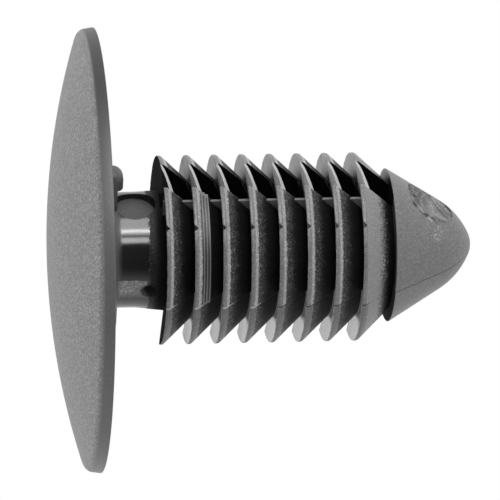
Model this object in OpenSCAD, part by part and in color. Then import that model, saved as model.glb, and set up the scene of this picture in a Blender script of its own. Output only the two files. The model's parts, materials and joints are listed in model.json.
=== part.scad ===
// Fir-tree push-in trim clip, moulded in one piece.
// It stands on the crown of its head with the stem up along +Z, and the origin is the crown.
// The two halves of the mould part along X, so the slots, ribs and pin marks face X.

/* [Head] */
// Diameter of the mushroom head, across its underside
head_d = 20; // [16:0.5:26]
// Thickness of the head on its axis, from the crown to the underside
head_h = 2.15; // [1.8:0.05:3]
// Thickness of the head at its rim
rim_h = 0.6; // [0.5:0.05:0.9]
// Radius of the rounded edge between the dome and the rim
rim_edge_r = 0.25; // [0.15:0.05:0.4]
// How far the rim leans in between the underside and the rounded edge
rim_draft = 0.1; // [0.02:0.01:0.2]

/* [Neck] */
// Diameter of the smooth neck at its waist, which is also the core under the fins
neck_d = 5.14; // [4.6:0.02:5.8]
// Length of the neck, from the underside to the first fin
neck_l = 2.77; // [2.6:0.01:5]
// Radius of the fillet where the neck grows out of the head
neck_fillet_r = 1.25; // [0.6:0.05:1.6]
// Length of the collar, over which the neck widens towards the first fin
collar_l = 1.1; // [0.4:0.05:1.2]
// How much wider the collar is than the waist, at the first fin
collar_flare = 0.22; // [0.1:0.02:0.4]

/* [Fins] */
// Number of fins
fin_count = 8; // [4:1:12]
// Diameter over the fins
fin_d = 8.5; // [7.8:0.1:10]
// Distance from one fin to the next
fin_pitch = 1.253; // [1.1:0.001:1.6]
// Width of the flat land on the rim of a fin
fin_land = 0.24; // [0.2:0.01:0.32]
// Angle between the axis and the lead-in slope on the nose side of a fin
fin_slope = 45; // [35:1:55]
// Lean of the holding face on the head side of a fin, towards the nose at its root
fin_lean = 8; // [2:1:15]

/* [Slots] */
// Width of the lengthways slot on each side of the stem
slot_w = 1.7; // [1.2:0.1:2.2]
// Thickness of the web that is left between the two slots
web_t = 2; // [1.2:0.1:3]
// How far the slots start ahead of the first fin and the rails
slot_lead = 0.04; // [0.02:0.01:0.2]
// Thickness of the low rail along each edge of a slot
rail_t = 0.15; // [0.1:0.05:0.4]
// Height of the rails above the axis
rail_h = 3.5; // [3.3:0.05:3.8]
// Thickness at the thin edge of the leaf that crosses the slot at each fin
leaf_t = 0.08; // [0.05:0.01:0.2]
// Thickness of the leaf where it is full
leaf_full_t = 0.38; // [0.3:0.01:0.5]
// Width over which a leaf thickens from its thin edge
leaf_taper_w = 1.1; // [0.6:0.1:1.1]
// Material that a pocket of the slot leaves in front of the fin that follows it
leaf_gap = 0.04; // [0.02:0.01:0.1]

/* [Nose] */
// Diameter of the nose at its flat shoulder
nose_d = 6.9; // [6.4:0.1:7.6]
// Length of the nose, from the shoulder to the tip
nose_l = 3.85; // [3.5:0.05:4.2]
// Angle between the axis and the flank of the nose
nose_half_angle = 31.3; // [29:0.1:34]
// Radius of the arch that bends the flank in towards the tip
nose_arch_r = 3.5; // [2.8:0.1:4]
// Radius of the rounded tip
nose_tip_r = 1.2; // [0.9:0.05:1.5]
// Distance from the last fin to the shoulder of the nose
nose_gap = 1.58; // [1.4:0.01:2]

/* [Ribs under the head] */
// Width of each rib between the neck and the head
rib_w = 1; // [0.6:0.1:1.4]
// Height of the ribs above the underside
rib_h = 1.05; // [0.6:0.05:1.6]
// Reach of the ribs from the axis
rib_reach = 4.45; // [3.6:0.05:6]
// Radius of the rounded end of a rib
rib_end_r = 0.55; // [0.3:0.05:0.6]

/* [Pin marks] */
// Diameter of the round recess in the neck
recess_d = 1.9; // [1.2:0.1:2]
// Distance from the underside to the centre of the recess
recess_z = 1.6; // [1.2:0.05:1.7]
// Depth of the recess, below the crest of the neck
recess_depth = 0.45; // [0.2:0.05:0.8]
// Diameter of the round mark on the nose
mark_d = 2.4; // [1.6:0.1:2.6]
// Distance from the shoulder of the nose to the centre of the mark
mark_z = 1.8; // [1.4:0.05:2.2]
// Depth of the mark, square to the cone
mark_depth = 0.18; // [0.08:0.02:0.3]

/* [Hidden] */
$fn = 96;

head_r = head_d / 2;
neck_r = neck_d / 2;
fin_r = fin_d / 2;
nose_r = nose_d / 2;

// The dome is the part of a ball that rises from the crown to the top of the rim.
dome_h = head_h - rim_h;
dome_r = (pow(head_r, 2) + pow(dome_h, 2)) / (2 * dome_h);
// The rounded edge is a circle that touches the dome from inside.
edge_x = head_r - rim_draft - rim_edge_r;
edge_z = dome_r - sqrt(pow(dome_r - rim_edge_r, 2) - pow(edge_x, 2));
edge_touch_x = edge_x * dome_r / (dome_r - rim_edge_r);

first_fin_z = head_h + neck_l;
last_fin_z = first_fin_z + (fin_count - 1) * fin_pitch;
fin_h = fin_r - neck_r;
// The collar ends inside the root of the first fin.
collar_end_z = first_fin_z + fin_land;

nose_z = last_fin_z + nose_gap;
// The flank runs from the shoulder and touches the arch, and the arch touches the ball of the tip.
// The arch's centre lies its radius inside the flank, and the two radii's difference from the ball's centre.
flank = [-sin(nose_half_angle), cos(nose_half_angle)];
flank_inward = [-cos(nose_half_angle), -sin(nose_half_angle)];
tip_centre = [0, nose_l - nose_tip_r];
arch_offset = [nose_r, 0] + nose_arch_r * flank_inward - tip_centre;
along = arch_offset * flank;
flank_l = -along - sqrt(pow(along, 2) - arch_offset * arch_offset + pow(nose_arch_r - nose_tip_r, 2));
flank_end = [nose_r, 0] + flank_l * flank;
arch_centre = flank_end + nose_arch_r * flank_inward;
arch_end = arch_centre + nose_arch_r / norm(tip_centre - arch_centre) * (tip_centre - arch_centre);

// Cuts reach past the surface that they open, and joined forms run into each other.
past = 1;
overlap = 0.1;

slot_edge = slot_w / 2;
// The slots open the end of the neck under the lean of the first fin.
lead_reach = neck_r + collar_flare / 2 + overlap;
lead_end_z = first_fin_z + (fin_r - norm([lead_reach, slot_edge])) * tan(fin_lean) - leaf_gap;

// Half section of the head, from the axis out to the rim
module head_profile() {
    intersection() {
        translate([0, dome_r]) circle(dome_r, $fn = 360);
        square([edge_touch_x, head_h]);
    }
    translate([edge_x, edge_z]) circle(rim_edge_r);
    polygon([
        [edge_x, edge_z],
        [edge_x + rim_edge_r, edge_z],
        [head_r, head_h],
        [edge_x, head_h]
    ]);
}

// Half section of the neck, its fillet and collar, and the core under the fins
module core_profile() {
    square([neck_r, nose_z + overlap]);
    translate([0, head_h]) difference() {
        square([neck_r + neck_fillet_r, neck_fillet_r]);
        translate([neck_r + neck_fillet_r, neck_fillet_r]) circle(neck_fillet_r);
    }
    polygon([
        [0, first_fin_z - collar_l],
        [neck_r, first_fin_z - collar_l],
        [neck_r + collar_flare / 2, first_fin_z],
        [neck_r + collar_flare / 2, collar_end_z],
        [0, collar_end_z]
    ]);
}

// Half section of one fin, whose rim starts at the given height
module fin_profile(rim_z) {
    polygon([
        [0, rim_z + fin_h * tan(fin_lean)],
        [neck_r, rim_z + fin_h * tan(fin_lean)],
        [fin_r, rim_z],
        [fin_r, rim_z + fin_land],
        [neck_r, rim_z + fin_land + fin_h / tan(fin_slope)],
        [0, rim_z + fin_land + fin_h / tan(fin_slope)]
    ]);
}

// Half section of the nose, a cone that arches in to a rounded tip
module nose_profile() {
    translate([0, nose_z]) {
        polygon([[0, 0], [nose_r, 0], flank_end, [0, flank_end.y]]);
        intersection() {
            translate(arch_centre) circle(nose_arch_r);
            square([nose_r, arch_end.y]);
        }
        intersection() {
            translate(tip_centre) circle(nose_tip_r);
            square([nose_r, nose_l]);
        }
    }
}

// The turned form of the clip, before anything is cut into it
module turned_body() {
    rotate_extrude() {
        head_profile();
        core_profile();
        intersection() {
            for (i = [0 : fin_count - 1]) fin_profile(first_fin_z + i * fin_pitch);
            square([fin_r, nose_z]);
        }
        nose_profile();
    }
}

// The low rails that stand beside the slots, in the grooves between the fins
module rails() {
    for (side = [0, 1]) mirror([0, side, 0])
        translate([-rail_h, slot_edge, first_fin_z])
            cube([2 * rail_h, rail_t, last_fin_z + fin_land - first_fin_z]);
}

// One rib between the neck and the head, with a rounded outer end
module rib() {
    translate([0, rib_w / 2, head_h]) rotate([90, 0, 0]) linear_extrude(rib_w) {
        translate([0, -overlap]) square([rib_reach, rib_h - rib_end_r + overlap]);
        square([rib_reach - rib_end_r, rib_h]);
        translate([rib_reach - rib_end_r, rib_h - rib_end_r]) circle(rib_end_r);
    }
}

// Cuts an outline, given across the slot and along the axis, from the web out to a reach
module pocket(outline, reach) {
    rotate([90, 0, 90]) translate([0, 0, web_t / 2])
        linear_extrude(reach - web_t / 2) polygon(outline);
}

// The slot on the +X side: it opens the end of the neck, and has a pocket behind the leaf of each fin,
// but no leaves at the fins before the given one
module slot(first_leaf) {
    lead_z = first_fin_z - slot_lead;
    if (first_leaf == 0) pocket([
        [-slot_edge, lead_z],
        [slot_edge, lead_z],
        [slot_edge, lead_end_z],
        [-slot_edge, lead_end_z]
    ], lead_reach);
    for (i = [0 : fin_count - 1]) {
        rim_z = first_fin_z + i * fin_pitch;
        thin_z = i < first_leaf ? rim_z - slot_lead : rim_z + leaf_t;
        full_z = i < first_leaf ? rim_z - slot_lead : rim_z + leaf_full_t;
        end_z = i < fin_count - 1 ? rim_z + fin_pitch - leaf_gap : nose_z;
        pocket([
            [-slot_edge, thin_z],
            [leaf_taper_w - slot_edge, full_z],
            [slot_edge, full_z],
            [slot_edge, end_z],
            [-slot_edge, end_z]
        ], fin_r + past);
    }
}

// Round blind recess that a mould pin left in the +X side of the neck
module neck_recess() {
    translate([neck_r - recess_depth, 0, head_h + recess_z]) rotate([0, 90, 0])
        cylinder(h = recess_depth + past, d = recess_d);
}

// Round flat mark on the +X side of the nose, square to its cone
module nose_mark() {
    flank_r = nose_r - mark_z * tan(nose_half_angle);
    translate([flank_r, 0, nose_z + mark_z]) rotate([0, 90 - nose_half_angle, 0])
        translate([0, 0, -mark_depth]) cylinder(h = mark_depth + past, d = mark_d);
}

// The whole clip
module clip() {
    color([0.5, 0.5, 0.5]) difference() {
        union() {
            difference() {
                turned_body();
                neck_recess();
            }
            rails();
            rib();
            mirror([1, 0, 0]) rib();
        }
        slot(0);
        mirror([1, 0, 0]) slot(1);
        nose_mark();
    }
}

clip();
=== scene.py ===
import json
from math import atan2, cos, pi, radians, sin, sqrt, tan

import bpy
from mathutils import Matrix, Vector


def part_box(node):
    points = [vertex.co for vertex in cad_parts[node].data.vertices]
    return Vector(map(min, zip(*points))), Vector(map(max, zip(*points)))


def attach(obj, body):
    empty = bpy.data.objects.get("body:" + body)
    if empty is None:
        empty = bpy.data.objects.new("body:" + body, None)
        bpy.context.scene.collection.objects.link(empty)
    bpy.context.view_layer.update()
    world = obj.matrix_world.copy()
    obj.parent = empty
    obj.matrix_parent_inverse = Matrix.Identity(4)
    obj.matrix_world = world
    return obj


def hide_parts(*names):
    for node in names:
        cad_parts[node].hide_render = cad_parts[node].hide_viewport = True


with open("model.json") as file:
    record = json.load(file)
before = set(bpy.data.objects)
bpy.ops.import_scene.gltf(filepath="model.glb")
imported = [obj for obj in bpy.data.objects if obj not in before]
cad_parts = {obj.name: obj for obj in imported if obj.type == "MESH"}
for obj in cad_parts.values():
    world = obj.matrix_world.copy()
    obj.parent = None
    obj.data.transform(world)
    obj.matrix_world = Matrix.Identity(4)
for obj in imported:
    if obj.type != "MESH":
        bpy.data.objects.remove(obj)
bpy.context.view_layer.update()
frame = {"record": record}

# Camera
# A long lens looks across the stem from a little under the head, so that the clip lies on its side
# in the picture, with the head at the left and the nose at the right.
MM = 0.001
picture_px = 500
px_per_mm = 22.2
camera_distance = 200 * MM
camera_turn = radians(52)
camera_tilt = radians(6.7)
camera_roll = radians(1.08)
aim_along_stem = 9.095 * MM
aim_below_stem = 0.12 * MM
towards_camera = Vector((cos(camera_turn), sin(camera_turn), 0))
picture_up = Vector((sin(camera_turn), -cos(camera_turn), 0))
stem_axis = Vector((0, 0, 1))
aim = stem_axis * aim_along_stem - picture_up * aim_below_stem
camera_back = towards_camera * cos(camera_tilt) - stem_axis * sin(camera_tilt)
level_right = (stem_axis - camera_back * stem_axis.dot(camera_back)).normalized()
level_up = camera_back.cross(level_right)
camera_right = level_right * cos(camera_roll) - level_up * sin(camera_roll)
camera_up = level_up * cos(camera_roll) + level_right * sin(camera_roll)
camera_place = Matrix((camera_right, camera_up, camera_back)).transposed().to_4x4()
camera_place.translation = aim + camera_back * camera_distance
bpy.ops.object.select_all(action="DESELECT")
bpy.ops.object.camera_add()
camera = bpy.context.object
camera.matrix_world = camera_place
camera.data.sensor_width = 36
camera.data.lens = camera.data.sensor_width * camera_distance / (picture_px / px_per_mm * MM)
camera.data.clip_start = 10 * MM
bpy.context.scene.camera = camera
bpy.context.scene.view_settings.view_transform = "Standard"


# Light and floor
# A white studio tent lights the clip softly from all round, with a darker opening on the camera's side.
# The clip stands on its crown on a plain pale floor, which lets the tent's light through from below.
tent_level = 0.85
opening_level = 0.03
opening_drop = radians(14)
opening_inner = radians(20)
opening_outer = radians(52)
opening_way = towards_camera * cos(opening_drop) - picture_up * sin(opening_drop)


def linear(hex_colour):
    """The linear colour of an sRGB hex value."""
    parts = [int(hex_colour[i : i + 2], 16) / 255 for i in (1, 3, 5)]
    return [c / 12.92 if c <= 0.04045 else ((c + 0.055) / 1.055) ** 2.4 for c in parts] + [1]


def add_node(tree, kind, inputs, **settings):
    """One new node with its settings, whose inputs are set to values or linked to other nodes' outputs."""
    node = tree.nodes.new(kind)
    for setting, value in settings.items():
        setattr(node, setting, value)
    for socket, value in inputs.items():
        if isinstance(value, bpy.types.NodeSocket):
            tree.links.new(value, node.inputs[socket])
        else:
            node.inputs[socket].default_value = value
    return node


world = bpy.data.worlds.new("tent")
bpy.context.scene.world = world
world.use_nodes = True
tent = world.node_tree
tent.nodes.clear()
way = add_node(tent, "ShaderNodeTexCoord", {})
facing = add_node(
    tent, "ShaderNodeVectorMath", {0: way.outputs["Generated"], 1: opening_way}, operation="DOT_PRODUCT"
)
walls = add_node(
    tent,
    "ShaderNodeMapRange",
    {
        "Value": facing.outputs["Value"],
        "From Min": cos(opening_outer),
        "From Max": cos(opening_inner),
        "To Min": tent_level,
        "To Max": opening_level,
    },
    interpolation_type="SMOOTHSTEP",
)
ray = add_node(tent, "ShaderNodeLightPath", {})
seen = add_node(
    tent,
    "ShaderNodeMath",
    {0: ray.outputs["Is Camera Ray"], 1: ray.outputs["Is Transmission Ray"]},
    operation="MAXIMUM",
)
light = add_node(tent, "ShaderNodeBackground", {"Color": (1, 1, 1, 1), "Strength": walls.outputs["Result"]})
backdrop = add_node(tent, "ShaderNodeBackground", {"Color": (1, 1, 1, 1), "Strength": 1})
either = add_node(
    tent, "ShaderNodeMixShader", {0: seen.outputs[0], 1: light.outputs[0], 2: backdrop.outputs[0]}
)
add_node(tent, "ShaderNodeOutputWorld", {"Surface": either.outputs[0]})

# Three long lamps stand above the camera, as the picture has it: a wide one, and two narrow ones that show
# only as reflections, such as those on the polished neck.
lamp_distance = 120 * MM
lamp_l = 30 * MM
lamp_along_stem = 17.5 * MM
for lamp_lift, lamp_w, lamp_power, lights_matte in (
    (radians(46), 78 * MM, 0.045, True),
    (radians(36.5), 12 * MM, 0.016, False),
    (radians(18), 22 * MM, 0.02, False),
):
    bpy.ops.object.select_all(action="DESELECT")
    bpy.ops.object.light_add(type="AREA")
    lamp = bpy.context.object
    lamp.data.shape = "RECTANGLE"
    lamp.data.size = lamp_l
    lamp.data.size_y = lamp_w
    lamp.data.energy = lamp_power
    lamp.visible_diffuse = lights_matte
    lamp_back = towards_camera * cos(lamp_lift) + picture_up * sin(lamp_lift)
    lamp_place = Matrix((stem_axis, lamp_back.cross(stem_axis), lamp_back)).transposed().to_4x4()
    lamp_place.translation = stem_axis * lamp_along_stem + lamp_back * lamp_distance
    lamp.matrix_world = lamp_place

floor_size = 600 * MM
bpy.ops.object.select_all(action="DESELECT")
bpy.ops.mesh.primitive_plane_add(size=floor_size)
floor = bpy.context.object
floor.name = "floor"
floor_paper = bpy.data.materials.new("pale_paper")
floor_paper.use_nodes = True
paper = floor_paper.node_tree
paper.nodes.clear()
ray = add_node(paper, "ShaderNodeLightPath", {})
side = add_node(paper, "ShaderNodeNewGeometry", {})
not_seen = add_node(paper, "ShaderNodeMath", {0: 1, 1: ray.outputs["Is Camera Ray"]}, operation="SUBTRACT")
lets_through = add_node(
    paper, "ShaderNodeMath", {0: not_seen.outputs[0], 1: side.outputs["Backfacing"]}, operation="MAXIMUM"
)
matte = add_node(paper, "ShaderNodeBsdfDiffuse", {"Color": linear("#e9e9e7")})
clear = add_node(paper, "ShaderNodeBsdfTransparent", {})
sheet = add_node(
    paper, "ShaderNodeMixShader", {0: lets_through.outputs[0], 1: matte.outputs[0], 2: clear.outputs[0]}
)
add_node(paper, "ShaderNodeOutputMaterial", {"Surface": sheet.outputs[0]})
floor.data.materials.append(floor_paper)


# Clip
# One piece of nylon, injection moulded in two halves that part at x = 0: a domed head, a neck, eight
# ring fins and a blunt nose. Its round form is turned here from half a section, then cut and added to.
mounts = {mount["name"]: mount for mount in frame["record"]["mounts"]}
clip_low, clip_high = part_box("clip")
head_r = (clip_high.x - clip_low.x) / 2
tip_z = clip_high.z
seat_z = mounts["seat"]["pos_m"][2]
fin_r = mounts["stem"]["dims"]["r_mm"] * MM
stem_l = mounts["stem"]["dims"]["length_mm"] * MM
first_fin_z = mounts["stem"]["pos_m"][2] - stem_l / 2
rim_h = 0.6 * MM
rim_draft = 0.1 * MM
neck_r = 2.6 * MM
neck_fillet_r = 0.95 * MM
collar_l = 1.1 * MM
collar_r = neck_r + 0.11 * MM
fin_count = 8
fin_land = 0.24 * MM
fin_tip_l = 0.16 * MM
fin_pitch = (stem_l - fin_land) / (fin_count - 1)
fin_lean = radians(8)
fin_slope = radians(45)
last_fin_z = first_fin_z + (fin_count - 1) * fin_pitch
groove_depth = (fin_pitch - fin_land) / (1 / tan(fin_slope) - tan(fin_lean))
nose_gap = 1.58 * MM
nose_z = last_fin_z + nose_gap
nose_r = 3.48 * MM
nose_half_angle = radians(31.3)
nose_arch_r = 3.5 * MM
nose_tip_r = 1.2 * MM
turn_steps = 288
dome_steps = 40
arc_steps = 10


def draw(name, points):
    """A new mesh of straight strokes through the points, left in edit mode with its last point selected."""
    bpy.ops.object.select_all(action="DESELECT")
    bpy.ops.mesh.primitive_plane_add(size=MM)
    bpy.context.object.name = name
    bpy.ops.object.mode_set(mode="EDIT")
    bpy.ops.mesh.select_mode(type="VERT")
    bpy.ops.mesh.merge(type="CENTER")
    bpy.ops.transform.translate(value=points[0])
    draw_on(points)
    return bpy.context.object


def draw_on(points):
    """Strokes from the first point, which is the selected one, through the others."""
    for here, there in zip(points, points[1:]):
        stroke = Vector(there) - Vector(here)
        bpy.ops.mesh.extrude_region_move(TRANSFORM_OT_translate={"value": stroke})


def close_outline():
    """Joins the ends of the strokes of the mesh that is in edit mode, and fills them with a face."""
    bpy.ops.mesh.select_all(action="SELECT")
    bpy.ops.mesh.edge_face_add()


def arc(centre_r, centre_z, angle, steps):
    """An arc from the selected point about a centre in the half section, counter-clockwise if positive."""
    bpy.ops.mesh.spin(steps=steps, angle=angle, center=(centre_r, 0, centre_z), axis=(0, 1, 0))


def select_where(piece, test):
    """Selects the points of a mesh whose place passes the test, and leaves it in edit mode."""
    bpy.ops.object.mode_set(mode="EDIT")
    bpy.ops.mesh.select_mode(type="VERT")
    bpy.ops.mesh.select_all(action="DESELECT")
    bpy.ops.object.mode_set(mode="OBJECT")
    for point in piece.data.vertices:
        point.select = test(point.co)
    bpy.ops.object.mode_set(mode="EDIT")


def face_out():
    """Merges doubles and turns the faces outwards on the mesh in edit mode, then leaves edit mode."""
    bpy.ops.mesh.select_all(action="SELECT")
    bpy.ops.mesh.remove_doubles(threshold=MM / 1000)
    bpy.ops.mesh.normals_make_consistent(inside=False)
    bpy.ops.object.mode_set(mode="OBJECT")


def section(radius, height):
    """A point of the half section."""
    return (radius, 0, height)


dome_h = seat_z - rim_h
dome_r = (head_r**2 + dome_h**2) / (2 * dome_h)
dome_edge_r = head_r - rim_draft
dome_edge_z = dome_r - sqrt(dome_r**2 - dome_edge_r**2)
clip = draw("nylon_clip", [section(0, 0)])
arc(0, dome_r, atan2(dome_edge_r, dome_r - dome_edge_z), dome_steps)
draw_on(
    [
        section(dome_edge_r, dome_edge_z),
        section(head_r, seat_z),
        section(neck_r + neck_fillet_r, seat_z),
    ]
)
arc(neck_r + neck_fillet_r, seat_z + neck_fillet_r, -pi / 2, arc_steps)
outline = [
    section(neck_r, seat_z + neck_fillet_r),
    section(neck_r, first_fin_z - collar_l),
    section(collar_r, first_fin_z + (fin_r - collar_r) * tan(fin_lean)),
]
for i in range(fin_count):
    rim_z = first_fin_z + i * fin_pitch
    outline += [
        section(fin_r, rim_z),
        section(fin_r, rim_z + fin_tip_l),
        section(fin_r - groove_depth, rim_z + fin_land + groove_depth / tan(fin_slope)),
    ]
shoulder_root_r = fin_r - (nose_gap - fin_land) * tan(fin_slope)
outline[-1] = section(shoulder_root_r, nose_z)
nose_l = tip_z - nose_z
flank = Vector((-sin(nose_half_angle), cos(nose_half_angle)))
flank_inward = Vector((-cos(nose_half_angle), -sin(nose_half_angle)))
tip_centre = Vector((0, nose_l - nose_tip_r))
arch_offset = Vector((nose_r, 0)) + nose_arch_r * flank_inward - tip_centre
along = arch_offset.dot(flank)
flank_l = -along - sqrt(along**2 - arch_offset.dot(arch_offset) + (nose_arch_r - nose_tip_r) ** 2)
flank_end = Vector((nose_r, 0)) + flank_l * flank
arch_centre = flank_end + nose_arch_r * flank_inward
arch_way = (tip_centre - arch_centre).normalized()
arch_end_angle = atan2(arch_way.y, arch_way.x)
outline += [section(nose_r, nose_z), section(flank_end.x, nose_z + flank_end.y)]
draw_on(outline)
arc(arch_centre.x, nose_z + arch_centre.y, arch_end_angle - nose_half_angle, arc_steps)
arc(0, nose_z + tip_centre.y, pi / 2 - arch_end_angle, arc_steps)

edge_r = 0.045 * MM
rim_top_r = 0.2 * MM
rim_edge_r = 0.04 * MM
near = 0.01 * MM
select_where(clip, lambda p: p.x > collar_r + near and first_fin_z - near < p.z < nose_z + near)
bpy.ops.mesh.bevel(offset=edge_r, segments=4, affect="VERTICES")
select_where(clip, lambda p: p.x > head_r - near)
bpy.ops.mesh.bevel(offset=rim_edge_r, segments=4, affect="VERTICES")
select_where(clip, lambda p: abs(p.x - dome_edge_r) < near and p.z < seat_z - rim_h / 2)
bpy.ops.mesh.bevel(offset=rim_top_r, segments=6, affect="VERTICES")
bpy.ops.mesh.select_all(action="SELECT")
bpy.ops.mesh.spin(steps=turn_steps, angle=2 * pi, center=(0, 0, 0), axis=(0, 0, 1))
face_out()

# Mould marks
# The half of the mould on the -X side sat a little nearer to the head, so its fins don't quite meet the
# others, and the plastic crept into the parting line as a low ridge. All fins lie a little towards -X.
half_jog = 0.03 * MM
flash_h = 0.025 * MM
fin_shift = 0.06 * MM
select_where(clip, lambda p: p.x < -near and first_fin_z - near < p.z < nose_z - fin_land)
bpy.ops.transform.translate(value=(0, 0, -half_jog))
select_where(clip, lambda p: abs(p.x) < near and p.z > first_fin_z - near and p.xy.length > nose_tip_r)
flash_scale = 1 + flash_h / fin_r
bpy.ops.transform.resize(value=(flash_scale, flash_scale, 1), center_override=(0, 0, 0))
fin_edge_roughness = 0.012 * MM
select_where(clip, lambda p: p.xy.length > fin_r - edge_r and first_fin_z - fin_land < p.z < nose_z)
bpy.ops.transform.vertex_random(offset=fin_edge_roughness, seed=4)
select_where(clip, lambda p: first_fin_z - half_jog - near < p.z < nose_z - fin_land)
bpy.ops.transform.translate(value=(-fin_shift, 0, 0))
bpy.ops.object.mode_set(mode="OBJECT")

# Ribs under the head
# A short rib runs out from the neck along the mould's draw on each side, rounded at its outer end.
rib_w = 1 * MM
rib_h = 1.05 * MM
rib_reach = 4.55 * MM
rib_end_r = 0.5 * MM
rib_edge_r = 0.35 * MM
sunk = 0.1 * MM


def join_to_clip(piece, operation):
    """Cuts a piece from the clip or joins it on, and removes the piece."""
    bpy.ops.object.select_all(action="DESELECT")
    bpy.context.view_layer.objects.active = clip
    clip.select_set(True)
    boolean = clip.modifiers.new(operation, "BOOLEAN")
    boolean.operation = operation
    boolean.solver = "MANIFOLD"
    boolean.object = piece
    bpy.ops.object.modifier_apply(modifier=boolean.name)
    bpy.data.objects.remove(piece)


def add_block(name, low, high):
    """A box between two corners."""
    bpy.ops.object.select_all(action="DESELECT")
    low, high = Vector(low), Vector(high)
    bpy.ops.mesh.primitive_cube_add(size=1, location=(low + high) / 2, scale=high - low)
    bpy.context.object.name = name
    bpy.ops.object.transform_apply(location=True, rotation=True, scale=True)
    return bpy.context.object


def mirror_x(piece):
    """Adds a piece's mirror image on the other side of x = 0."""
    image = piece.modifiers.new("image", "MIRROR")
    image.use_mirror_merge = False
    bpy.ops.object.modifier_apply(modifier=image.name)
    bpy.ops.object.mode_set(mode="EDIT")
    face_out()


rib = add_block("rib", (neck_r / 2, -rib_w / 2, seat_z - sunk), (rib_reach, rib_w / 2, seat_z + rib_h))
select_where(rib, lambda p: p.x > rib_reach - near and p.z > seat_z + rib_h - near)
bpy.ops.mesh.bevel(offset=rib_end_r, segments=8, affect="EDGES")
bpy.ops.object.mode_set(mode="OBJECT")
edges = rib.modifiers.new("edges", "BEVEL")
edges.width = rib_edge_r
edges.segments = 6
bpy.ops.object.modifier_apply(modifier=edges.name)
mirror_x(rib)
join_to_clip(rib, "UNION")

# Recess in the neck
# A mould pin on the +X side left a round blind recess, which also cuts the foot of the rib there.
recess_r = 0.95 * MM
recess_z = seat_z + 1.6 * MM
recess_depth = 0.45 * MM
recess_reach = 1.05 * MM
bpy.ops.object.select_all(action="DESELECT")
bpy.ops.mesh.primitive_cylinder_add(
    vertices=64,
    radius=recess_r,
    depth=recess_depth + recess_reach,
    location=(neck_r + (recess_reach - recess_depth) / 2, 0, recess_z),
    rotation=(0, pi / 2, 0),
)
pin = bpy.context.object
bpy.ops.object.transform_apply(location=True, rotation=True, scale=True)
join_to_clip(pin, "DIFFERENCE")

# Dent in the neck
# A small round dent lies in the neck beside the first fin, next to the parting line on the +Y side.
dent_r = 0.5 * MM
dent_depth = 0.14 * MM
dent_turn = radians(97)
dent_z = 4.29 * MM
dent_out = neck_r + dent_r - dent_depth
bpy.ops.object.select_all(action="DESELECT")
bpy.ops.mesh.primitive_uv_sphere_add(
    segments=48,
    ring_count=24,
    radius=dent_r,
    location=(dent_out * cos(dent_turn), dent_out * sin(dent_turn), dent_z),
)
dent = bpy.context.object
bpy.ops.object.transform_apply(location=True, rotation=True, scale=True)
join_to_clip(dent, "DIFFERENCE")

# Rails beside the slots
# A thin low wall stands along one edge of each slot, in the grooves between the fins. The two slots have
# theirs on opposite edges, as if the stem were turned half round.
slot_edge = 0.85 * MM
rail_t = 0.15 * MM
rail_h = 3.4 * MM
for side in (1, -1):
    rail = add_block(
        "rail",
        (0, side * (slot_edge - near), first_fin_z),
        (side * rail_h, side * (slot_edge + rail_t), last_fin_z + fin_land),
    )
    join_to_clip(rail, "UNION")

# Steps on the second fin
# The cutter left terraces on the slope of the second fin, in the +X half of the mould only.
second_rim_z = first_fin_z + fin_pitch
terrace_start = radians(12)
terrace_sweep = radians(78)


def turned_segment(name, points, start, sweep):
    """A closed half section turned through part of a circle, counter-clockwise as seen from the nose."""
    segment = draw(name, points)
    close_outline()
    bpy.ops.mesh.delete(type="ONLY_FACE")
    bpy.ops.mesh.select_all(action="SELECT")
    bpy.ops.transform.rotate(value=-start, orient_axis="Z", center_override=(0, 0, 0))
    bpy.ops.mesh.spin(steps=turn_steps // 2, angle=-sweep, center=(0, 0, 0), axis=(0, 0, 1))
    bpy.ops.mesh.select_all(action="SELECT")
    bpy.ops.mesh.fill_holes(sides=0)
    face_out()
    return segment


terraces = turned_segment(
    "terraces",
    [
        section(fin_r - 0.35 * MM, second_rim_z + 0.28 * MM),
        section(fin_r - 0.20 * MM, second_rim_z + 0.33 * MM),
        section(fin_r - 0.21 * MM, second_rim_z + 0.46 * MM),
        section(fin_r - 0.30 * MM, second_rim_z + 0.475 * MM),
        section(fin_r - 0.31 * MM, second_rim_z + 0.585 * MM),
        section(fin_r - 0.40 * MM, second_rim_z + 0.60 * MM),
        section(fin_r - 0.41 * MM, second_rim_z + 0.74 * MM),
        section(fin_r - 0.70 * MM, second_rim_z + 0.78 * MM),
        section(fin_r - 0.85 * MM, second_rim_z + 0.70 * MM),
    ],
    terrace_start,
    terrace_sweep,
)
terraces.location.x = -fin_shift
join_to_clip(terraces, "UNION")

# Slots
# A lengthways slot crosses the fins on each side, and leaves a thin slanted leaf at each fin. It also opens
# the end of the neck. On the -X side the first fin has no leaf, and is cut away beside the slot.
web_half = 1 * MM
slot_lead = 0.04 * MM
leaf_t = 0.06 * MM
leaf_full_t = 0.46 * MM
leaf_slant = 0.3 * MM
leaf_gap = 0.04 * MM
pocket_end = fin_pitch - leaf_gap
reach_past = 1 * MM


def repeat(piece, offset, count):
    """Copies a piece in a row, within its mesh."""
    row = piece.modifiers.new("row", "ARRAY")
    row.use_relative_offset = False
    row.use_constant_offset = True
    row.constant_offset_displace = offset
    row.count = count
    bpy.ops.object.modifier_apply(modifier=row.name)


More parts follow.
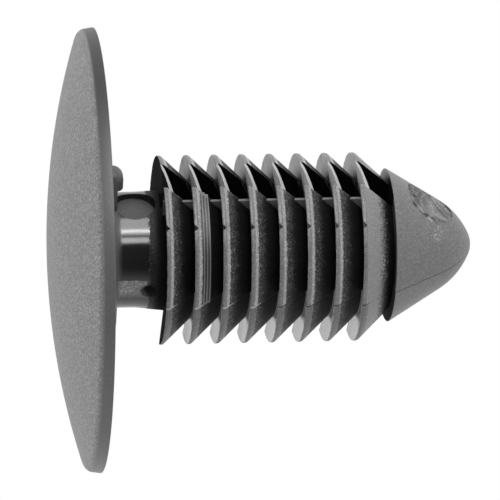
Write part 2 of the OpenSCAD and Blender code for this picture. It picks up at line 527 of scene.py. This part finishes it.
pockets = draw(
    "pockets",
    [
        (web_half, -slot_edge, first_fin_z + leaf_t),
        (web_half, slot_edge, first_fin_z + leaf_full_t),
        (web_half, slot_edge, first_fin_z + pocket_end + leaf_slant),
        (web_half, -slot_edge, first_fin_z + pocket_end),
    ],
)
close_outline()
bpy.ops.mesh.extrude_region_move(TRANSFORM_OT_translate={"value": (fin_r - web_half + reach_past, 0, 0)})
bpy.ops.object.mode_set(mode="OBJECT")
repeat(pockets, (0, 0, fin_pitch), fin_count)
select_where(pockets, lambda p: p.z > last_fin_z + pocket_end - near)
bpy.ops.transform.resize(value=(1, 1, 0), center_override=(0, 0, nose_z))
bpy.ops.object.mode_set(mode="OBJECT")
mirror_x(pockets)
select_where(pockets, lambda p: p.x < 0 and p.z < first_fin_z + leaf_full_t + near)
bpy.ops.transform.resize(value=(1, 1, 0), center_override=(0, 0, first_fin_z - half_jog - slot_lead))
bpy.ops.object.mode_set(mode="OBJECT")
join_to_clip(pockets, "DIFFERENCE")
lead_reach = collar_r + sunk
lead_end_z = first_fin_z + (fin_r - Vector((lead_reach, slot_edge)).length) * tan(fin_lean) - leaf_gap
lead_edge = 0.4 * MM
lead = add_block(
    "lead", (web_half, -slot_edge, first_fin_z - slot_lead), (lead_reach, lead_edge, lead_end_z)
)
join_to_clip(lead, "DIFFERENCE")
first_slant = draw(
    "first_slant",
    [
        (lead_reach, -slot_edge, first_fin_z - leaf_gap),
        (lead_reach, slot_edge, first_fin_z - leaf_gap),
        (lead_reach, slot_edge, first_fin_z - leaf_gap + leaf_slant),
    ],
)
close_outline()
bpy.ops.mesh.extrude_region_move(TRANSFORM_OT_translate={"value": (fin_r + reach_past - lead_reach, 0, 0)})
face_out()
join_to_clip(first_slant, "DIFFERENCE")

gap_start = radians(141)
gap_sweep = radians(56)
first_fin_gap = turned_segment(
    "first_fin_gap",
    [
        section(collar_r + near, first_fin_z - half_jog - slot_lead),
        section(fin_r + reach_past, first_fin_z - half_jog - slot_lead),
        section(fin_r + reach_past, first_fin_z + pocket_end),
        section(collar_r + near, first_fin_z + pocket_end),
    ],
    gap_start,
    gap_sweep,
)
join_to_clip(first_fin_gap, "DIFFERENCE")

# Nicks in the fins
# The back edge of each fin has a small nick in line with the others, where the mould was chipped.
nick_turn = camera_turn - radians(12.8)
nick_depth = 0.18 * MM
bpy.ops.object.select_all(action="DESELECT")
bpy.ops.mesh.primitive_cube_add(
    size=1,
    location=(fin_r * cos(nick_turn) - fin_shift, fin_r * sin(nick_turn), first_fin_z),
    rotation=(pi / 4, 0, nick_turn),
    scale=(4 * nick_depth, sqrt(2) * nick_depth, sqrt(2) * nick_depth),
)
nick = bpy.context.object
bpy.ops.object.transform_apply(location=True, rotation=True, scale=True)
repeat(nick, (0, 0, fin_pitch), fin_count)
join_to_clip(nick, "DIFFERENCE")

# Mark on the nose
# The gate was twisted off the +X side of the nose, and left a round flat with a torn swirl. It is drawn a
# thousand times its size, in metres for millimetres, because the swirl's waves have a fixed length.
mark_r = 1.25
mark_y = -0.15 * MM
mark_z = 1.9 * MM
mark_depth = 0.21
mark_reach = 1
swirl_h = 0.14
swirl_centre = Vector((1.6, 2.2, 0))
bpy.ops.object.select_all(action="DESELECT")
bpy.ops.mesh.primitive_circle_add(vertices=64, radius=mark_r, fill_type="TRIFAN", location=-swirl_centre)
mark = bpy.context.object
bpy.ops.object.transform_apply(location=True, rotation=True, scale=True)
bpy.ops.object.mode_set(mode="EDIT")
bpy.ops.mesh.subdivide(number_cuts=15)
bpy.ops.object.mode_set(mode="OBJECT")
torn = bpy.data.textures.new("torn", "WOOD")
torn.wood_type = "RINGNOISE"
torn.noise_scale = 0.6
torn.turbulence = 4
swirl = mark.modifiers.new("swirl", "DISPLACE")
swirl.texture = torn
swirl.strength = swirl_h
bpy.ops.object.modifier_apply(modifier=swirl.name)
bpy.ops.object.mode_set(mode="EDIT")
bpy.ops.mesh.select_all(action="SELECT")
bpy.ops.mesh.extrude_region_move(TRANSFORM_OT_translate={"value": (0, 0, mark_reach)})
bpy.ops.mesh.select_all(action="SELECT")
bpy.ops.mesh.normals_make_consistent(inside=False)
bpy.ops.object.mode_set(mode="OBJECT")
flank_place = Matrix.Translation((nose_r - mark_z * tan(nose_half_angle), mark_y, nose_z + mark_z))
flank_place @= Matrix.Rotation(pi / 2 - nose_half_angle, 4, "Y") @ Matrix.Scale(MM, 4)
mark.matrix_world = flank_place @ Matrix.Translation(swirl_centre - Vector((0, 0, mark_depth)))
bpy.ops.object.transform_apply(location=True, rotation=True, scale=True)
join_to_clip(mark, "DIFFERENCE")

bpy.ops.object.select_all(action="DESELECT")
bpy.context.view_layer.objects.active = clip
clip.select_set(True)
bpy.ops.object.shade_smooth_by_angle(angle=radians(30))

# Moulded nylon. Where the mould was spark eroded (head, fins and nose) it is matte, with grain and with
# fine bright specks painted in as glints, and where it was polished (the neck) smooth and dark. The roots
# of the fins and the slots are painted near black as shade, and several other tones are painted light and
# shade, as said beside them. A finish is a tone, how much grain and painted glints show in it, and a
# roughness.
# The grain and the glints are drawn coarser than the real ones, which would be too fine to show.
# Painted shade: the roots of the fins, the slots and the backs of the fins near their roots are near black.
root_shade_finish = (linear("#040404")[0], 0.1, 0.45)
# Painted shade: the slopes of the fins are dark grey, going to black towards the roots.
slope_shade_finish = (linear("#484848")[0], 1.3, 0.6)
# Painted highlight: a light band along the outer edge of each fin.
edge_highlight_finish = (linear("#b0b0b0")[0], 0.3, 0.36)
land_finish = (linear("#808080")[0], 0.3, 0.36)
flat_finish = (linear("#7c7c7c")[0], 0.1, 0.4)
# Painted shade: dark lines between the terrace steps on the second fin, on the +X half.
step_shade_finish = (linear("#2c2c2c")[0], 0.1, 0.4)
# Painted light: the last slope, with no fin in front of it, is lighter than the others.
last_slope_lit_finish = (linear("#8c8c8c")[0], 0.15, 0.5)
# Painted light: the outer faces of the leaves beside the slots are light.
leaf_lit_finish = (linear("#c0c0c0")[0], 0.1, 0.4)
# Painted light: the backs of the leaves in the slots are near white.
leaf_back_lit_finish = (linear("#f0f0f0")[0], 0.1, 0.5)
# Painted light: the backs of the fins are light towards the rim, over the painted black shade near their
# roots.
back_lit_finish = (linear("#acacac")[0], 0.1, 0.35)
# Painted light: the backs on the -X half are lighter and glossier still.
far_back_lit_finish = (linear("#d0d0d0")[0], 0.1, 0.15)
# Painted shade: on the -X half that edge band is darker than the lands instead of light.
far_edge_shade_finish = (linear("#707070")[0], 0.2, 0.5)
shaded_finish = (linear("#0c0c0c")[0], 0.1, 1)
burr_finish = (linear("#d0d0d0")[0], 0.1, 0.4)
# Black, for the crack along the seam, and as painted shade for a small pit beside the mark on the nose.
crack_and_pit_shade_finish = (linear("#101010")[0], 0.1, 0.5)
nose_finish = (linear("#7a7a7a")[0], 0.25, 0.42)
nose_seam_finish = (linear("#5a5a5a")[0], 0.1, 0.5)
mark_finish = (linear("#606060")[0], 0.2, 0.45)
streak_finish = (linear("#989898")[0], 0.2, 0.45)
# Painted shade: a near black line along the rim of the mark on the nose, where its step throws shade.
mark_edge_shade_finish = (linear("#141414")[0], 0.2, 0.5)
scuff_finish = (linear("#b4b4b4")[0], 0.1, 0.5)
collar_finish = (linear("#101010")[0], 8, 0.6)
neck_finish = (linear("#2c2c2c")[0], 0.05, 0.13)
# Painted reflection: a light grainy band on the neck along the parting line, on the +Y side.
band_reflection_finish = (linear("#b0b0b0")[0], 0.6, 0.4)
fillet_finish = (linear("#5c5c5c")[0], 0.1, 0.45)
recess_finish = (linear("#5e5e5e")[0], 0.2, 0.45)
head_finish = (linear("#868686")[0], 0.5, 0.5)
rim_finish = (linear("#666666")[0], 0.1, 0.4)
rim_shade_finish = (linear("#383838")[0], 0.1, 0.4)
grain_mm = 0.09
spark_mm = 0.06
chip_mm = 0.07
terrace_mm = 0.14
streak_mm = 0.25
grain_relief = 0.03 * MM
nylon_ior = 1.53
nylon = bpy.data.materials.new("moulded_nylon")
nylon.use_nodes = True
plastic = nylon.node_tree
plastic.nodes.clear()
place = add_node(plastic, "ShaderNodeTexCoord", {})
in_mm = add_node(
    plastic, "ShaderNodeVectorMath", {0: place.outputs["Object"], "Scale": 1 / MM}, operation="SCALE"
).outputs[0]
at = add_node(plastic, "ShaderNodeSeparateXYZ", {0: in_mm})
faces = add_node(plastic, "ShaderNodeSeparateXYZ", {0: place.outputs["Normal"]})
shift_mm = fin_shift / MM
across = add_node(
    plastic, "ShaderNodeVectorMath", {0: in_mm, 1: (1, 1, 0), 2: (shift_mm, 0, 0)}, operation="MULTIPLY_ADD"
)
radius = add_node(
    plastic, "ShaderNodeVectorMath", {0: across.outputs[0]}, operation="LENGTH"
).outputs["Value"]
from_parting = add_node(plastic, "ShaderNodeMath", {0: at.outputs["X"]}, operation="ABSOLUTE").outputs[0]
from_middle = add_node(plastic, "ShaderNodeMath", {0: at.outputs["Y"]}, operation="ABSOLUTE").outputs[0]
drawn = add_node(plastic, "ShaderNodeMath", {0: faces.outputs["X"]}, operation="ABSOLUTE").outputs[0]
lean = add_node(plastic, "ShaderNodeMath", {0: faces.outputs["Z"]}, operation="ABSOLUTE").outputs[0]
up_side = add_node(
    plastic, "ShaderNodeVectorMath", {0: in_mm, 1: picture_up}, operation="DOT_PRODUCT"
).outputs["Value"]
grain = add_node(
    plastic, "ShaderNodeTexNoise", {"Vector": in_mm, "Scale": 1 / grain_mm, "Detail": 4, "Roughness": 0.7}
).outputs[0]
spark = add_node(plastic, "ShaderNodeTexVoronoi", {"Vector": in_mm, "Scale": 1 / spark_mm}).outputs["Color"]
chip = add_node(plastic, "ShaderNodeTexVoronoi", {"Vector": in_mm, "Scale": 1 / chip_mm}).outputs["Color"]
wave_mm = pi / 10
steps = add_node(
    plastic,
    "ShaderNodeTexWave",
    {"Vector": in_mm, "Scale": wave_mm / terrace_mm},
    bands_direction="Z",
    wave_profile="SAW",
).outputs[1]
soft = add_node(
    plastic,
    "ShaderNodeMapRange",
    {"Value": grain, "From Min": 0.3, "From Max": 0.7, "To Min": -1.2, "To Max": 0.8},
    clamp=False,
)
# Painted glints: the brightest spark cells are added to the tone as light specks.
painted_glints = add_node(
    plastic, "ShaderNodeMapRange", {"Value": spark, "From Min": 0.6, "From Max": 0.85, "To Max": 1.6}
)
grain_and_glints = add_node(plastic, "ShaderNodeMath", {0: soft.outputs[0], 1: painted_glints.outputs[0]}).outputs[0]
ragged = 0.12
ragged_radius = add_node(
    plastic, "ShaderNodeMath", {0: grain_and_glints, 1: ragged, 2: radius}, operation="MULTIPLY_ADD"
).outputs[0]
ragged_height = add_node(
    plastic, "ShaderNodeMath", {0: grain_and_glints, 1: ragged / 2, 2: at.outputs["Z"]}, operation="MULTIPLY_ADD"
).outputs[0]
scuff_place = (1.88, 1.34, 17.15)
mark_place = flank_place.translation / MM
pit_place = (2.75, 0.57, 16.38)
twist_place = (1.23, -1.5, 18.96)
dent_place = (neck_r * cos(dent_turn) / MM, neck_r * sin(dent_turn) / MM, dent_z / MM)
from_scuff, from_mark, from_pit, from_twist, from_dent = [
    add_node(plastic, "ShaderNodeVectorMath", {0: in_mm, 1: spot}, operation="DISTANCE").outputs["Value"]
    for spot in (scuff_place, mark_place, pit_place, twist_place, dent_place)
]
streaks = add_node(
    plastic,
    "ShaderNodeTexNoise",
    {"W": from_twist, "Scale": 1 / streak_mm, "Detail": 3},
    noise_dimensions="1D",
).outputs[0]

# Where a finish lies is a ramp over a place in millimetres, the lean of the face or a pattern. It starts at
# the first value and is full at the second.
tip_mm = fin_r / MM
first_mm = first_fin_z / MM
last_mm = (last_fin_z + fin_tip_l) / MM
fifth_mm = (first_fin_z + 4 * fin_pitch) / MM
nose_mm = nose_z / MM
seat_mm = seat_z / MM
slot_mm = slot_edge / MM
under_root_mm = 2.9
rail_mm = (slot_edge + rail_t) / MM
floor_mm = (neck_r - recess_depth) / MM
where = {}
for name, measure, start, full in (
    ("slope", ragged_radius, tip_mm - 0.58, tip_mm - 0.14),
    ("edge", radius, tip_mm - 0.19, tip_mm - 0.13),
    ("land", radius, tip_mm - 0.05, tip_mm - 0.02),
    ("upright", lean, 0.5, 0.4),
    ("below_edge", radius, tip_mm - 0.15, tip_mm - 0.17),
    ("beside_slot", from_middle, slot_mm + 0.005, slot_mm + 0.02),
    ("beside_rail", from_middle, rail_mm + 0.02, rail_mm + 0.04),
    ("in_step", steps, 0.45, 0.6),
    ("above_root", radius, under_root_mm - 0.05, under_root_mm + 0.05),
    ("near_half", at.outputs["X"], 0, 0.05),
    ("last", at.outputs["Z"], last_mm, last_mm + 0.01),
    ("last_rise", ragged_radius, tip_mm - 0.9, tip_mm - 0.6),
    ("between", from_middle, slot_mm + 0.015, slot_mm + 0.005),
    ("outward", drawn, 0.4, 0.6),
    ("leaf", radius, tip_mm - 0.7, tip_mm - 0.6),
    ("back", faces.outputs["Z"], -0.65, -0.75),
    ("back_rise", radius, tip_mm - 1.15, tip_mm - 0.5),
    ("first", at.outputs["Z"], first_mm + 0.4, first_mm + 0.3),
    ("foot", radius, under_root_mm + 0.05, under_root_mm - 0.05),
    ("far_half", at.outputs["X"], -shift_mm, -shift_mm - 0.02),
    ("under_nose", at.outputs["Z"], nose_mm - 0.1, nose_mm - 0.05),
    ("seam_low", at.outputs["X"], -shift_mm + 0.04, -shift_mm + 0.025),
    ("seam_high", at.outputs["X"], -shift_mm - 0.04, -shift_mm - 0.025),
    ("seam_rise", radius, tip_mm - 0.35, tip_mm - 0.12),
    ("burr", at.outputs["Z"], fifth_mm - 0.05, fifth_mm - 0.1),
    ("crack", at.outputs["Z"], fifth_mm - 0.1, fifth_mm - 0.05),
    ("parting", from_parting, 0.04, 0.025),
    ("nose", at.outputs["Z"], nose_mm, nose_mm + 0.01),
    ("mark", from_mark, mark_r + 0.03, mark_r),
    ("streak", streaks, 0.42, 0.62),
    ("mark_edge", from_mark, mark_r - 0.18, mark_r - 0.1),
    ("lip_start", at.outputs["Y"], 0.1, 0.25),
    ("lip_in", at.outputs["Y"], 0.7, 0.76),
    ("lip_out", at.outputs["Y"], 0.96, 0.88),
    ("mark_end", at.outputs["Z"], mark_place.z + 0.2, mark_place.z - 0.1),
    ("pit", from_pit, 0.24, 0.17),
    ("near_scuff", from_scuff, 0.8, 0.2),
    ("chip", chip, 0.74, 0.8),
    ("collar", at.outputs["Z"], first_mm + 0.01, first_mm),
    ("fin_foot", ragged_height, first_mm - 0.4, first_mm - 0.1),
    ("dent", from_dent, 0.42, 0.18),
    ("neck", ragged_height, first_mm - 0.57, first_mm - 0.59),
    ("band_low", at.outputs["X"], 0.27, 0.24),
    ("band_high", at.outputs["X"], -0.85, -0.4),
    ("near_side", at.outputs["Y"], 0, 0.1),
    ("band_end", at.outputs["Z"], seat_mm + 2.1, seat_mm + 2.05),
    ("fillet", at.outputs["Z"], seat_mm + 0.98, seat_mm + 0.7),
    ("rib", radius, under_root_mm, under_root_mm + 0.2),
    ("faces_x", faces.outputs["X"], 0.99, 0.995),
    ("sunk", at.outputs["X"], floor_mm + 0.02, floor_mm + 0.01),
    ("head", at.outputs["Z"], seat_mm + 0.02, seat_mm + 0.01),
    ("rim", faces.outputs["Z"], -0.8, -0.2),
    ("rim_side", up_side, 2, 7),
):
    ramp = add_node(plastic, "ShaderNodeMapRange", {"Value": measure, "From Min": start, "From Max": full})
    where[name] = ramp.outputs[0]

# The finishes are laid over each other in turn: the fins from their roots out to the slots and the seam of
# the mould, then the nose, and then from the collar down to the head. Each lies where all its ramps meet.
finish = root_shade_finish
for layer, *meeting in (
    (slope_shade_finish, "slope"),
    (edge_highlight_finish, "edge"),
    (land_finish, "land"),
    (flat_finish, "upright", "below_edge", "beside_slot", "above_root"),
    (step_shade_finish, "upright", "below_edge", "beside_rail", "in_step", "above_root", "near_half"),
    (root_shade_finish, "last"),
    (last_slope_lit_finish, "last", "last_rise"),
    (far_edge_shade_finish, "edge", "far_half"),
    (root_shade_finish, "between"),
    (leaf_lit_finish, "between", "outward", "leaf"),
    (root_shade_finish, "back"),
    (back_lit_finish, "back", "back_rise"),
    (leaf_back_lit_finish, "back", "between", "back_rise"),
    (root_shade_finish, "back", "between", "under_nose"),
    (far_back_lit_finish, "back", "far_half"),
    (shaded_finish, "back", "first"),
    (shaded_finish, "first", "foot"),
    (shaded_finish, "back", "under_nose", "far_half"),
    (burr_finish, "seam_low", "seam_high", "seam_rise", "burr"),
    (crack_and_pit_shade_finish, "seam_low", "seam_high", "seam_rise", "crack"),
    (nose_finish, "nose"),
    (mark_finish, "nose", "mark"),
    (streak_finish, "nose", "mark", "streak"),
    (mark_edge_shade_finish, "nose", "mark", "mark_edge", "lip_start", "lip_out", "mark_end"),
    (mark_edge_shade_finish, "nose", "mark", "lip_in", "lip_out", "mark_end"),
    # Painted shade: a black spot stands for a small pit beside the mark.
    (crack_and_pit_shade_finish, "nose", "pit"),
    (scuff_finish, "nose", "near_scuff", "chip"),
    (nose_seam_finish, "nose", "parting"),
    (collar_finish, "collar"),
    (shaded_finish, "collar", "fin_foot"),
    (neck_finish, "collar", "neck"),
    (band_reflection_finish, "collar", "neck", "band_low", "band_high", "near_side", "band_end"),
    (shaded_finish, "collar", "dent"),
    (fillet_finish, "collar", "fillet"),
    (fillet_finish, "collar", "neck", "rib"),
    (recess_finish, "collar", "faces_x", "sunk"),
    (head_finish, "head"),
    (rim_finish, "head", "rim"),
    (rim_shade_finish, "head", "rim", "rim_side", "upright"),
):
    share = where[meeting[0]]
    for name in meeting[1:]:
        both = add_node(plastic, "ShaderNodeMath", {0: share, 1: where[name]}, operation="MULTIPLY")
        share = both.outputs[0]
    laid = add_node(plastic, "ShaderNodeMix", {0: share, 4: finish, 5: layer}, data_type="VECTOR")
    finish = laid.outputs[1]
parts = add_node(plastic, "ShaderNodeSeparateXYZ", {0: finish})
graining = add_node(
    plastic, "ShaderNodeMath", {0: grain_and_glints, 1: parts.outputs["Y"], 2: 1}, operation="MULTIPLY_ADD"
)
tone = add_node(
    plastic,
    "ShaderNodeMath",
    {0: parts.outputs["X"], 1: graining.outputs[0]},
    operation="MULTIPLY",
    use_clamp=True,
)
relief = add_node(plastic, "ShaderNodeMath", {0: parts.outputs["Y"], 1: 1}, operation="MINIMUM")
bump = add_node(
    plastic, "ShaderNodeBump", {"Strength": relief.outputs[0], "Distance": grain_relief, "Height": grain}
)
skin = add_node(
    plastic,
    "ShaderNodeBsdfPrincipled",
    {
        "Base Color": tone.outputs[0],
        "Roughness": parts.outputs["Z"],
        "IOR": nylon_ior,
        "Normal": bump.outputs[0],
    },
)
add_node(plastic, "ShaderNodeOutputMaterial", {"Surface": skin.outputs[0]})
clip.data.materials.clear()
clip.data.materials.append(nylon)
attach(clip, "root")
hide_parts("clip")
